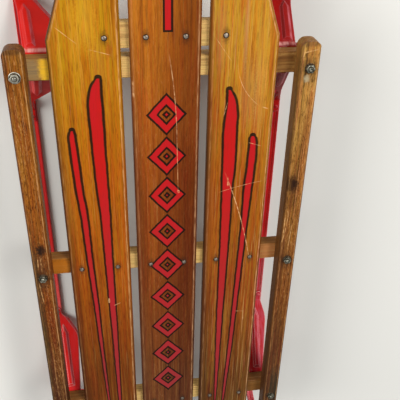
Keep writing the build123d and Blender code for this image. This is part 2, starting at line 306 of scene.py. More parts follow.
def stripeMasks(tree, across, ahead, wobble, points):
    # one mask for the red, and one for the red with its outline
    masks = []
    for tipOutline, frontOutline, rearOutline in ((0, 0, 0), stripes["outline"]):
        tip, tail = points[0][0] + tipOutline, points[-1][0]
        rows = []
        for y, x, width in points:
            outline = rearOutline + (frontOutline - rearOutline) * (y - tail) / (tip - tail)
            rows.append((y, x, width + 2 * outline))
        if tipOutline:                      # the outline is round ahead of the red tip
            center, width = rows[0][1:]
            rows = [(tip - tipOutline * s, center, width * w) for s, w in stripes["roundTip"]] + rows
        low = min(row[1] for row in rows) - 1       # with 1 mm to spare on both sides
        high = max(row[1] for row in rows) + 1
        widest = max(row[2] for row in rows)
        shares = [((tip - row[0]) / (tip - tail)) ** 0.5 for row in rows]   # closer points at the tip
        share = addNode(tree, "MapRange", {"From Min": tip * mm, "From Max": tail * mm}, {"Value": ahead})
        share = addNode(tree, "Math", {"operation": "POWER", 1: 0.5}, {0: share})
        center = addNode(tree, "FloatCurve", {
            "points": [(s, (row[1] - low) / (high - low)) for s, row in zip(shares, rows)],
        }, {"Value": share})
        half = addNode(tree, "FloatCurve", {
            "points": [(s, row[2] / widest) for s, row in zip(shares, rows)],
        }, {"Value": share})
        middle = addNode(tree, "MapRange", {"To Min": low * mm, "To Max": high * mm}, {"Value": center})
        away = addNode(tree, "Math", {"operation": "SUBTRACT"}, {0: across, 1: middle})
        away = addNode(tree, "Math", {"operation": "ABSOLUTE"}, {0: away})
        reach = addNode(tree, "Math", {"operation": "MULTIPLY", 1: widest / 2 * mm}, {0: half})
        past = addNode(tree, "Math", {"operation": "SUBTRACT"}, {0: away, 1: reach})
        past = addNode(tree, "Math", {"operation": "ADD"}, {0: past, 1: wobble})
        inside = addNode(tree, "MapRange", {
            "From Min": stripes["soft"] * mm, "From Max": -stripes["soft"] * mm}, {"Value": past})
        length = addNode(tree, "Math", {
            "operation": "COMPARE", 1: (tip + tail) / 2 * mm, 2: (tip - tail) / 2 * mm}, {0: ahead})
        masks.append(overlap(tree, inside, length))
    return masks


def stripePaint(side, sign):
    def paint(tree, place, across, ahead):
        away = addNode(tree, "Math", {"operation": "MULTIPLY", 1: sign}, {0: across})
        wobble = brushWobble(tree, place, stripes["wobble"] * mm)
        pairs = [stripeMasks(tree, away, ahead, wobble, points) for points in stripes[side]]
        return [strongest(tree, *parts) for parts in zip(*pairs)]
    return paint


# The centre slat's ornament: a row of open lozenges, each round a small full one, behind a plain line.
# The row and the line are in millimetres, and the parts of a lozenge are shares of its size.
ornament = {
    "front": 211.0, "rear": -343.0, "count": 9,
    "halfWidth": 27.0, "halfLength": 30.5,
    "open": 0.50, "core": 0.06, "outline": 0.14, "wobble": 0.03, "soft": 0.015,
    "lineRear": 291.0, "lineFront": 452.0, "lineMiddle": 2.6, "lineHalf": 3.6, "lineOutline": 2.6,
}


def ornamentMasks(tree, place, across, ahead):
    front, rear, outline = ornament["front"], ornament["rear"], ornament["outline"]
    lineFront, lineRear, soft = ornament["lineFront"], ornament["lineRear"], ornament["soft"]
    pitch = (front - rear) / ornament["count"]
    beside = addNode(tree, "Math", {"operation": "ABSOLUTE"}, {0: across})
    beside = addNode(tree, "Math", {"operation": "DIVIDE", 1: ornament["halfWidth"] * mm}, {0: beside})
    along = addNode(tree, "Math", {"operation": "SUBTRACT", 1: rear * mm}, {0: ahead})
    along = addNode(tree, "Math", {"operation": "DIVIDE", 1: pitch * mm}, {0: along})
    along = addNode(tree, "Math", {"operation": "FRACT"}, {0: along})
    along = addNode(tree, "Math", {"operation": "SUBTRACT", 1: 0.5}, {0: along})
    along = addNode(tree, "Math", {"operation": "ABSOLUTE"}, {0: along})
    along = addNode(tree, "Math", {"operation": "MULTIPLY", 1: pitch / ornament["halfLength"]}, {0: along})
    reach = addNode(tree, "Math", {"operation": "ADD"}, {0: beside, 1: along})
    reach = addNode(tree, "Math", {"operation": "ADD"}, {
        0: reach, 1: brushWobble(tree, place, ornament["wobble"])})
    inRow = addNode(tree, "Math", {
        "operation": "COMPARE", 1: (front + rear) / 2 * mm, 2: (front - rear) / 2 * mm}, {0: ahead})
    masks = []
    for grow in (0, outline):               # the red, then the red with its outline
        outer, inner, core = [
            addNode(tree, "MapRange", {"From Min": size + edge, "From Max": size - edge}, {"Value": reach})
            for size, edge in (
                (1 + grow - outline, soft), (ornament["open"] - grow, -soft), (ornament["core"] + grow, soft))
        ]
        ring = overlap(tree, outer, inner)
        lozenge = strongest(tree, ring, core)
        row = overlap(tree, lozenge, inRow)
        edge = ornament["lineOutline"] if grow else 0
        line = addNode(tree, "Math", {
            "operation": "COMPARE", 1: ornament["lineMiddle"] * mm, 2: (ornament["lineHalf"] + edge) * mm,
        }, {0: across})
        length = addNode(tree, "Math", {
            "operation": "COMPARE", 1: (lineFront + lineRear) / 2 * mm,
            2: ((lineFront - lineRear) / 2 + edge) * mm,
        }, {0: ahead})
        line = overlap(tree, line, length)
        masks.append(strongest(tree, row, line))
    return masks


print("sign paint ready")


# Wood. Sawn boards show growth rings as dark lines along the board, with streaks and fine fibre
# between them. Their tone runs from amber in front to brown behind; they are dark where dirt gathers, and on
# the left-facing sides with painted shade.

grainSizes = {                              # width and length in mm, and the noise's detail
    "bend": (30.0, 620.0, 2),               # slow bends of the growth rings
    "streak": (5.0, 190.0, 4),
    "fibre": (1.2, 17.0, 4),                # real fibre is under 0.1 mm wide, so it is drawn coarser
    "patch": (42.0, 190.0, 4),              # clouds of varnish and dirt
    "hue": (8.0, 260.0, 3),
    "hair": (0.9, 110.0, 1),                # pale hairlines of 0.2 mm, drawn coarser too
    "fleck": (1.1, 5.5, 5),                 # pores and flakes of 0.3 mm, drawn coarser too
}
grainNoise = {"Scale": 1.0, "Roughness": 0.6, "Distortion": 0.35}
# A mark's source, a noise or a part of the surface's normal, where it starts and is full, and its least
# strength
grainMarks = {
    "ringUneven": ("streak", 0.30, 0.62, 0.25),
    "darkStreak": ("streak", 0.50, 0.70, 0),
    "paleStreak": ("streak", 0.46, 0.34, 0),
    "darkFibre": ("fibre", 0.50, 0.70, 0),
    "hair": ("hair", 0.64, 0.72, 0),
    "rubbed": ("patch", 0.38, 0.58, 0),     # where the deck is rubbed through the varnish
    "upper": ("upward", 0.1, 0.4, 0),
    "lower": ("upward", -0.3, -0.8, 0),
    "sides": ("upward", 0.97, 0.60, 0),
    "leftShade": ("rightward", 0.30, -0.30, 0.35),      # the left sides darker: painted shade
    "gathered": ("patch", 0.30, 0.60, 0.45),
    "patchUneven": ("streak", 0.25, 0.55, 0.5),
    "shoulderFibre": ("fibre", 0.58, 0.40, 0.2),
    "rightFacingLit": ("rightward", -0.2, 0.2, 0.30),          # the right edges paler: rubbed, and a painted highlight
}
fleckMarks = {
    "pore": ("fleck", 0.44, 0.36, 0),
    "flake": ("fleck", 0.56, 0.66, 0),
    "split": ("fibre", 0.54, 0.42, 0.2),
}
ringStops = [(0.0, "#404040"), (0.30, "#000000"), (0.78, "#8A8A8A"), (0.93, "#FFFFFF"), (1.0, "#404040")]
hueStops = [(0.32, "#D09C74"), (0.42, "#FFE8A0"), (0.50, "#EEF6C0"), (0.57, "#F8C4A0"), (0.68, "#DCDC90")]
shoulderStops = [(0.86, "#000000"), (0.93, "#FFFFFF"), (0.975, "#FFFFFF"), (0.996, "#000000")]

# A tone has its place along the sled in mm, ring and bend are the growth rings' spacing in mm and how
# many of them a bend takes in, darkSide is where it starts and is full in mm from the centre line, and a
# colour has its strength beside it. The dark colour of dirt also paints shade on the left-facing sides, and
# the bare colour also paints a pool of light between the slats.
woods = {
    # flat-sawn pine in old amber varnish: warm yellow to brown, soft wide rings, a faint gloss
    "pineSlatLeft": {
        "tones": [(-480, "#60300C"), (-320, "#6E390C"), (-150, "#8E480C"), (60, "#AE640C"), (300, "#B8820E")],
        "grainAhead": True, "ring": 6.5, "bend": 7.5, "line": ("#A06A30", 0.24),
        "streak": ("#8A5A30", 0.42), "pale": ("#DDAA58", 0.12), "hair": ("#E6B468", 0.16),
        "hueDepth": 0.75, "fibreDepth": 0.55, "dirtAndShade": ("#34190A", 0.92), "edgeDirt": 0.6,
        "rough": 0.26, "coat": 0.09, "wear": "#E2B078",
    },
    # the same pine from a greyer board, with more pale hairlines
    "pineSlatRight": {
        "tones": [(-480, "#644226"), (-320, "#6C4422"), (-130, "#905220"), (60, "#A8641C"), (300, "#BE8830")],
        "grainAhead": True, "ring": 7.5, "bend": 8.0, "line": ("#A07038", 0.24),
        "streak": ("#8E6036", 0.42), "pale": ("#DDAE62", 0.14), "hair": ("#EAB878", 0.34),
        "hueDepth": 1.0, "fibreDepth": 0.55, "dirtAndShade": ("#34190A", 0.92), "edgeDirt": 0.6,
        "rough": 0.26, "coat": 0.09, "wear": "#E4B07C",
    },
    # heart pine, stained redder and darker, more so along its right side
    "pineSlatCenter": {
        "tones": [
            (-480, "#643C26"), (-320, "#6A3C20"), (-130, "#7C4016"), (120, "#954A12"), (300, "#B66C1C")],
        "grainAhead": True, "ring": 8.0, "bend": 8.5, "line": ("#9A6440", 0.38),
        "streak": ("#845838", 0.45), "pale": ("#B06C30", 0.16), "hair": ("#C89058", 0.30),
        "hueDepth": 0.6, "fibreDepth": 0.45, "fleckDepth": 0.2, "dirtAndShade": ("#3E2012", 0.70), "edgeDirt": 0.5,
        "rough": 0.26, "coat": 0.09, "wear": "#D2A070",
        "darkSide": (-22, 24, "#8E6452", 0.68),
    },
    # planed beech worn by hands: brown, with dark pores, and flaked to pale bare wood
    "beechRail": {
        "tones": [(-480, "#502D18"), (-300, "#5A3016"), (-100, "#82461B"), (60, "#94561C"), (280, "#8E581C")],
        "grainAhead": True, "ring": 4.5, "bend": 4.0, "line": ("#8A5830", 0.5),
        "streak": ("#6A4226", 0.6), "pale": ("#C08A46", 0.22), "hair": ("#D8A46A", 0.45),
        "hueDepth": 0.7, "fibreDepth": 0.8, "fleckDepth": 0.75, "dirtAndShade": ("#3A2410", 0.70),
        "rough": 0.36, "coat": 0.05, "wear": "#D2A066",
    },
    # sawn beech, hardly varnished: dry and yellow with close fine lines, palest between the slats, where bare
    # wood has a painted pool of light over it
    "beechBench": {
        "tones": [(-480, "#7C5024"), (-200, "#935A26"), (60, "#A87434"), (300, "#C08C48")],
        "grainAhead": False, "ring": 2.4, "bend": 2.0, "line": ("#B07C44", 0.55),
        "streak": ("#8A6038", 0.5), "pale": ("#E4BC78", 0.2), "hair": ("#F0D090", 0.3),
        "hueDepth": 0.2, "fibreDepth": 0.3, "fleckDepth": 0.2, "dirtAndShade": ("#5A3A1C", 0.70),
        "rough": 0.38, "coat": 0.05, "wear": "#E8CB94",
        "bareAndLit": ("#FFD88A", 0.9),
    },
    # varnished ash: honey brown with strong open grain along the bar
    "ashBar": {
        "tones": [(400, "#BE8432"), (600, "#C68C36")],
        "grainAhead": False, "ring": 5.0, "bend": 3.0, "line": ("#8A5A2A", 0.6),
        "streak": ("#8A5C30", 0.6), "pale": ("#DDB070", 0.2), "hair": ("#E6BC80", 0.5),
        "hueDepth": 0.6, "fibreDepth": 0.6, "fleckDepth": 0.1, "dirtAndShade": ("#5A3616", 0.70),
        "rough": 0.28, "coat": 0.12, "wear": "#E0C08E",
    },
}
# the right rail is greyer in front and keeps more varnish behind
woods["beechRailRight"] = dict(
    woods["beechRail"], rearWear=0.3,
    tones=[(-480, "#5C3822"), (-300, "#6A4026"), (-100, "#7C4A22"), (60, "#966430"), (280, "#BC8E50")],
)
woodWear = {
    "underside": ("#A27448", 0.45),         # thin, dry varnish under the boards
    "stain": ("#2A180D", 0.5),              # iron stain round a rivet
    "stainRadii": (4.6, 9),
    "bareAndLitFrom": {"From Min": 0.144, "From Max": 0.120},     # metres from the centre line
    "keptVarnish": {"From Min": -0.24, "From Max": -0.06},  # metres along the sled, where rearWear ends
    "darkSideAhead": {"From Min": -0.32, "From Max": -0.08, "To Min": 0.5},     # metres along the sled
    "edgeDirtWidth": (0.016, 0.003),        # metres from a slat's left edge
    "edgeDirtAhead": {"From Min": 0.30, "From Max": 0.12, "To Min": 0.15},      # metres along the sled
    "scratchBreaks": {"From Min": 0.40, "From Max": 0.60, "To Min": 0.25},
    "scratchStrength": 0.8,
    "shoulderStrength": 0.6,
    "toneStray": 0.30,                      # metres by which a tone strays along the sled
    "sideStray": 0.05,
    "ringLean": 0.6,                        # how far the rings lean through a board's thickness
    "bump": {"Strength": 0.25, "Distance": 0.4 * mm},
    "ringBump": 0.4,
    "roughnessSpread": 0.35,
    "varnish": {"IOR": 1.45, "Specular IOR Level": 0.12, "Coat Roughness": 0.15},
}


def woodFinish(name, node, paint=None, stains=(), scratches=(), patches=(), chips=()):
    look = woods[name]
    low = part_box(node)[0]
    material, tree = newMaterial(name)
    place = addNode(tree, "TexCoord", output="Object")
    across, ahead, up = addNode(tree, "SeparateXYZ", links={0: place}, output=None)
    normal = addNode(tree, "NewGeometry", output="Normal")
    slope = addNode(tree, "SeparateXYZ", links={0: normal}, output=None)
    grain = {"rightward": slope[0], "upward": slope[2]}
    for key, (width, length, detail) in grainSizes.items():
        fine, coarse = 1 / (width * mm), 1 / (length * mm)
        scale = (fine, coarse, fine) if look["grainAhead"] else (coarse, fine, fine)
        stretched = addNode(tree, "Mapping", {"Scale": scale}, {"Vector": place})
        grain[key] = addNode(tree, "TexNoise", {**grainNoise, "Detail": detail}, {"Vector": stretched})
    mask = fadeMasks(tree, grainMarks, grain)

    # tone along the sled
    stray = woodWear["toneStray"]
    drift = addNode(tree, "Math", {"operation": "MULTIPLY_ADD", 1: stray}, {0: grain["patch"], 2: ahead})
    first, last = look["tones"][0][0], look["tones"][-1][0]
    share = addNode(tree, "MapRange", {
        "From Min": first * mm + stray / 2, "From Max": last * mm + stray / 2}, {"Value": drift})
    colour = addNode(tree, "ValToRGB", {
        "stops": [((y - first) / (last - first), tone) for y, tone in look["tones"]]}, {"Fac": share})
    if "bareAndLit" in look:                      # less varnish near the middle, and a painted pool of light between the slats
        inward = addNode(tree, "Math", {"operation": "ABSOLUTE"}, {0: across})
        inward = addNode(tree, "MapRange", woodWear["bareAndLitFrom"], {"Value": inward})
        colour = blendColour(tree, inward, colour, *look["bareAndLit"])

    # growth rings, streaks and fibre
    bend = addNode(tree, "Math", {"operation": "MULTIPLY", 1: look["bend"]}, {0: grain["bend"]})
    lean = addNode(tree, "Math", {
        "operation": "MULTIPLY_ADD", 1: woodWear["ringLean"] / (look["ring"] * mm)}, {0: up, 2: bend})
    acrossGrain = across if look["grainAhead"] else ahead
    phase = addNode(tree, "Math", {
        "operation": "MULTIPLY_ADD", 1: 1 / (look["ring"] * mm)}, {0: acrossGrain, 2: lean})
    ring = addNode(tree, "Math", {"operation": "FRACT"}, {0: phase})
    ring = addNode(tree, "ValToRGB", {"stops": ringStops}, {"Fac": ring})
    ring = overlap(tree, ring, mask["ringUneven"])
    streakColour = look["streak"][0]
    colour = blendColour(tree, ring, colour, *look["line"], "MULTIPLY")
    colour = blendColour(tree, mask["darkStreak"], colour, *look["streak"], "MULTIPLY")
    colour = blendColour(tree, mask["paleStreak"], colour, *look["pale"])
    colour = blendColour(tree, mask["darkFibre"], colour, streakColour, look["fibreDepth"], "MULTIPLY")
    hues = addNode(tree, "ValToRGB", {"stops": hueStops}, {"Fac": grain["hue"]})
    colour = blendColour(tree, None, colour, hues, look["hueDepth"], "MULTIPLY")
    colour = blendColour(tree, mask["hair"], colour, *look["hair"])
    if "fleckDepth" in look:                # dark pores, and flakes of varnish gone where it is rubbed
        mask.update(fadeMasks(tree, fleckMarks, grain))
        colour = blendColour(tree, mask["pore"], colour, streakColour, look["fleckDepth"], "MULTIPLY")
        flake = overlap(tree, mask["flake"], mask["rubbed"], mask["split"])
        flake = addNode(tree, "Math", {
            "operation": "SUBTRACT", "use_clamp": True}, {0: flake, 1: mask["darkStreak"]})
        if "rearWear" in look:
            kept = addNode(tree, "MapRange", {
                **woodWear["keptVarnish"], "To Min": look["rearWear"]}, {"Value": ahead})
            flake = overlap(tree, flake, kept)
        colour = blendColour(tree, flake, colour, look["wear"], look["fleckDepth"])
    if "darkSide" in look:
        start, full, tone, strength = look["darkSide"]
        stray = woodWear["sideStray"]
        skew = addNode(tree, "Math", {"operation": "MULTIPLY_ADD", 1: stray}, {0: grain["patch"], 2: across})
        side = addNode(tree, "MapRange", {
            "From Min": start * mm + stray / 2, "From Max": full * mm + stray / 2}, {"Value": skew})
        inFront = addNode(tree, "MapRange", woodWear["darkSideAhead"], {"Value": ahead})
        side = overlap(tree, side, inFront)
        colour = blendColour(tree, side, colour, tone, strength, "MULTIPLY")
    colour = blendColour(tree, mask["lower"], colour, *woodWear["underside"])

    # scorched, greyed and rubbed patches on the upper side, and painted shade along the left rail's outer
    # side, then the paint
    for center, radii, tone, strength in patches:
        patch = spotMask(tree, place, center, radii, *marks["stainEdge"])
        patch = overlap(tree, patch, mask["patchUneven"], mask["upper"])
        colour = blendColour(tree, patch, colour, tone, strength)
    if paint:
        red, black = [overlap(tree, part, mask["upper"]) for part in paint(tree, place, across, ahead)]
        age = addNode(tree, "MapRange", signPaint["ageing"], {"Value": ahead})
        redColour = addNode(tree, "Mix", {
            "data_type": "RGBA", 6: linearColour(signPaint["fresh"]), 7: linearColour(signPaint["aged"]),
        }, {0: age}, output=2)
        redColour = blendColour(tree, mask["rubbed"], redColour, *signPaint["thin"])
        redColour = blendColour(tree, mask["darkFibre"], redColour, *signPaint["inFibre"])
        colour = blendColour(tree, black, colour, *signPaint["outline"])
        colour = blendColour(tree, red, colour, redColour, signPaint["redStrength"])

    # dirt on the sides, with painted shade on the left-facing sides, then dirt along a slat's left edge and
    # round the rivets
    sideDirtAndShade = overlap(tree, mask["sides"], mask["leftShade"], mask["gathered"])
    colour = blendColour(tree, sideDirtAndShade, colour, *look["dirtAndShade"])
    if "edgeDirt" in look:
        start, full = woodWear["edgeDirtWidth"]
        inward = addNode(tree, "MapRange", {
            "From Min": low.x + start, "From Max": low.x + full}, {"Value": across})
        behind = addNode(tree, "MapRange", woodWear["edgeDirtAhead"], {"Value": ahead})
        inward = overlap(tree, inward, behind)
        colour = blendColour(tree, inward, colour, look["dirtAndShade"][0], look["edgeDirt"])
    for center in stains:
        stain = spotMask(tree, place, center, woodWear["stainRadii"], *marks["stainEdge"])
        stain = overlap(tree, stain, mask["upper"])
        colour = blendColour(tree, stain, colour, *woodWear["stain"])

    # scratches and chips show pale bare wood, and so do rubbed shoulders, whose paler right-facing edges are
    # a painted highlight
    shoulderWearAndGlint = addNode(tree, "ValToRGB", {"stops": shoulderStops}, {"Fac": slope[2]})
    shoulderWearAndGlint = overlap(tree, shoulderWearAndGlint, mask["shoulderFibre"], mask["rightFacingLit"])
    colour = blendColour(tree, shoulderWearAndGlint, colour, look["wear"], woodWear["shoulderStrength"])
    pale = [scratchMask(tree, place, *scratch) for scratch in scratches]
    pale += [spotMask(tree, place, center, radii, *marks["chipEdge"]) for center, radii in chips]
    if pale:
        breaks = addNode(tree, "TexNoise", {
            "Scale": 1 / (marks["break"] * mm), "Detail": 2}, {"Vector": place})
        breaks = addNode(tree, "MapRange", woodWear["scratchBreaks"], {"Value": breaks})
        bared = overlap(tree, strongest(tree, *pale), breaks, mask["upper"])
        colour = blendColour(tree, bared, colour, look["wear"], woodWear["scratchStrength"])

    relief = addNode(tree, "Math", {
        "operation": "MULTIPLY_ADD", 1: woodWear["ringBump"]}, {0: ring, 2: grain["fibre"]})
    bump = addNode(tree, "Bump", woodWear["bump"], {"Height": relief})
    rough = addNode(tree, "Math", {
        "operation": "MULTIPLY_ADD", 1: woodWear["roughnessSpread"], 2: look["rough"]}, {0: grain["patch"]})
    finishWith(tree, {**woodWear["varnish"], "Coat Weight": look["coat"]}, {
        "Base Color": colour, "Roughness": rough, "Normal": bump})
    return material


# Wear of each wooden piece, and one patch of painted shade, in millimetres. A scratch is its start, end,
# width and bow, a patch its centre, radii, colour and strength, and a chip its centre and radii.
wear = {
    "slat_left": {
        "scratches": [
            ((-130, 296), (-109, 278), 0.8), ((-92, 269), (-68, 262), 0.7), ((-83, -138), (-74, -134), 1.5),
        ],
        "patches": [
            ((-69.5, 268), (3.5, 8), "#8E400E", 0.7), ((-95, 306), (12, 34), "#F0BB35", 0.2),
            ((-83, 250), (8, 30), "#CC9438", 0.16),
        ],
        "chips": [((-90.7, -128), (1.4, 4.5))],
    },
    "slat_center": {
        "scratches": [
            ((4.9, 253), (13.9, 143), 1.2, 2.0), ((-42.2, 226), (-41.6, 206), 2.4),
            ((14, 140), (15.6, 66), 0.8),
        ],
        "chips": [((16.2, 62), (1.8, 2.6))],
    },
    "slat_right": {
        "scratches": [
            ((91.5, 244), (120, 190), 0.65, -6.0), ((86.5, 76), (125, -60), 1.3, 3.0),
            ((86.0, 80), (86.8, 67), 2.2), ((78.7, 58), (133, 71), 0.8, 1.0),
            ((61.8, 279.7), (82.1, 251.1), 0.6), ((128, 185.3), (135, 182.8), 1.4),
            ((111, -172), (124, -173.5), 0.8), ((123.5, -173), (124, -193), 0.7),
            ((80.3, 193), (76.4, 176), 0.8), ((114, 133), (129, 128), 1.0),
        ],
        "patches": [
            ((63, 30), (5, 130), "#B8621A", 0.4), ((69, 280), (6, 45), "#A07048", 0.3),
            ((100, 285), (3, 50), "#A88050", 0.4), ((121, 262), (8, 60), "#E6BB4A", 0.16),
            ((108, 205), (10, 45), "#D0985A", 0.16), ((123, 200), (7, 50), "#D39A5E", 0.14),
        ],
    },
    "rail_left": {
        "scratches": [
            ((-186.3, -26), (-187.5, -48), 1.2), ((-182.5, -26), (-183, -50), 1.0),
            ((-189.1, -75), (-186.4, -110), 1.2),
        ],
        "patches": [
            ((-184, -48), (10, 40), "#2E1A10", 0.62), ((-180, -14), (6, 9), "#0E0A0A", 0.95),
            # the first patch here, dark olive on the left rail's outer side, is painted shade
            ((-194, -150), (7, 170), "#33301A", 0.65), ((-184, -330), (9, 110), "#3E2012", 0.5),
            ((-182, -63), (10, 15), "#2A1A10", 0.5), ((-182, 273), (15, 4), "#3E2814", 0.6),
        ],
    },
    "rail_right": {
        "scratches": [
            ((173, 262), (190, 266), 1.6), ((172, 255), (174, 266), 1.2), ((172.5, 16), (172, -22), 1.2),
            ((176.5, 24), (170.5, -34), 1.0, 1.5), ((184, 0), (182, -36), 1.0),
        ],
        "patches": [
            ((176, 70), (9, 12), "#0C0907", 1.0), ((171, 60), (13, 40), "#3A1E10", 0.55),
            ((165, 96), (4, 60), "#2A1810", 0.6), ((174, -60), (9, 50), "#5A3018", 0.5),
            ((181, 240), (10, 19), "#2C1A0E", 0.65), ((180, 228), (3.5, 4.5), "#B4A684", 0.7),
            ((182, 274), (15, 4), "#4A3220", 0.6), ((181, -66), (10, 14), "#2A1A10", 0.55),
            ((186, -350), (10, 46), "#24261C", 0.8), ((178, -240), (8, 90), "#4A2A16", 0.4),
        ],
    },
    "benches": {
        "patches": [
            ((-166, 242), (12, 16), "#8E8668", 0.55), ((-149, 242), (6.5, 17), "#F6BE2C", 0.95),
            ((-158, -63), (18, 15), "#C87414", 0.75), ((158, -63), (18, 15), "#BE7C4A", 0.65),
            ((158, 242), (17, 18), "#5E3818", 0.85), ((158, -368), (18, 16), "#7A5426", 0.5),
        ],
    },
}
rivet = {                                   # radius and rise in mm
    "head": (3.8, 1.5), "tail": (2.8, 1.1), "foot": (3.2, 1.4), "sink": 0.3, "footInset": 8.0,
    "kneeSheet": 2.0,                       # mm, the knees' thickness
    "cleatColumns": (24.4, 74.5), "benchColumns": (25.0, 74.2, 127.0),
    "dome": [(0.02, 1.0), (0.30, 0.95), (0.58, 0.80), (0.82, 0.52), (0.96, 0.20)],  # shares of both
}


def middleOf(node):
    low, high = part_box(node)
    return (low + high) / 2


cleatY = middleOf("front_cleat").y / mm
benchYs = [middleOf(f"bench_{place}").y / mm for place in ("front", "middle", "rear")]
rivetPlaces = [(sign * x, cleatY) for x in rivet["cleatColumns"] for sign in (-1, 1)]
rivetPlaces += [(sign * x, y) for y in benchYs[1:] for x in rivet["benchColumns"] for sign in (-1, 1)]


def rivetsOn(node):
    low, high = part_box(node)
    return [place for place in rivetPlaces if low.x < place[0] * mm < high.x]


finishes = {
    "slat_left": woodFinish(
        "pineSlatLeft", "slat_left", stripePaint("left", -1), rivetsOn("slat_left"), **wear["slat_left"]),
    "slat_right": woodFinish(
        "pineSlatRight", "slat_right", stripePaint("right", 1), rivetsOn("slat_right"), **wear["slat_right"]),
    "slat_center": woodFinish(
        "pineSlatCenter", "slat_center", ornamentMasks, rivetsOn("slat_center"), **wear["slat_center"]),
    "rail_left": woodFinish("beechRail", "rail_left", **wear["rail_left"]),
    "rail_right": woodFinish("beechRailRight", "rail_right", **wear["rail_right"]),
    "steering_bar": woodFinish("ashBar", "steering_bar"),
}
benchFinish = woodFinish("beechBench", "bench_middle", **wear["benches"])
for node in ("front_cleat", "bench_front", "bench_middle", "bench_rear"):
    finishes[node] = benchFinish
print("wood finished")


# Baked enamel on pressed steel: smooth, glossy red in clouds of deeper red, with painted shade on the front
# right and painted light on the rear left, faded to pink on the rear right, partly a painted reflection,
# rubbed to pale primer along its edges, with painted highlights along its creases and bend, a painted pink
# reflection on what faces right, and small rust chips

enamel = {
    "red": "#D01A10",
    "deepAndShaded": "#920C08",
    # pink of the rear right: part fade, part painted reflection
    "pinkFadeAndSheen": ("#CC5468", 0.5),
    # pale pink of the painted highlights on creases and of the painted reflection on what faces right
    "pinkSheen": "#D4707C",
    "creaseStrength": 0.2,
    "rightSheenStrength": 0.6,
    # pale primer where edges are rubbed, and the colour of the painted highlights on creases and the bend
    "rubbed": "#E8A098",
    "glintStrength": 0.7,
    "edgeStrength": 0.75,
    "bendGlintStrength": 0.9,
    "rust": ("#5A2C1A", 0.8),
    "rightShade": 2.4,                        # painted shade: how much darker a metre to the right makes it in front
    # painted light: how much brighter the rear left is
    "rearLeftLight": 0.5,
    "bendGlint": (3.0, 2.4, 0.8),                # painted highlight line on the bend: mm ahead of the front bench, half width and full half width
    "edge": 1.1,                            # mm, radius of a rubbed edge
    "crease": 2.6,                          # mm, radius of a crease
    "cloud": 38.0,                          # mm
    "grit": 4.0,                            # mm, real grit is under 1 mm, so it is drawn coarser
    "brushMarks": (4.0, 33.0, 16.0),        # mm across, along and up
    "roughness": 0.34,
    "roughnessSpread": 0.2,
    "bump": {"Strength": 0.06, "Distance": 0.5 * mm},
    "gloss": {"IOR": 1.5, "Specular IOR Level": 0.08, "Coat Weight": 0.10, "Coat Roughness": 0.1},
}
# Rows as in grainMarks, with places in metres. A match is how nearly a rounded normal is the true one.
enamelMarks = {
    "front": ("ahead", 0.0, 0.2, 0),
    "behind": ("ahead", -0.10, -0.24, 0),
    "left": ("across", 0.15, -0.15, 0),
    "farRight": ("across", 0.162, 0.174, 0.25),
    "high": ("up", 0.06, 0.07, 0),
    "brushed": ("brushed", 0.40, 0.58, 0.25),
    "worn": ("grit", 0.42, 0.60, 0),
    "chip": ("grit", 0.70, 0.74, 0),
    "crease": ("creaseMatch", 0.995, 0.93, 0),
    "corner": ("edgeMatch", 0.985, 0.86, 0),
    # right-facing rubbed edges are paler, partly a painted highlight, and right-facing faces carry a painted
    # reflection
    "rightFacingLit": ("rightward", -0.5, 0.1, 0.35),
    "rightSheen": ("rightward", 0.12, 0.55, 0),
}


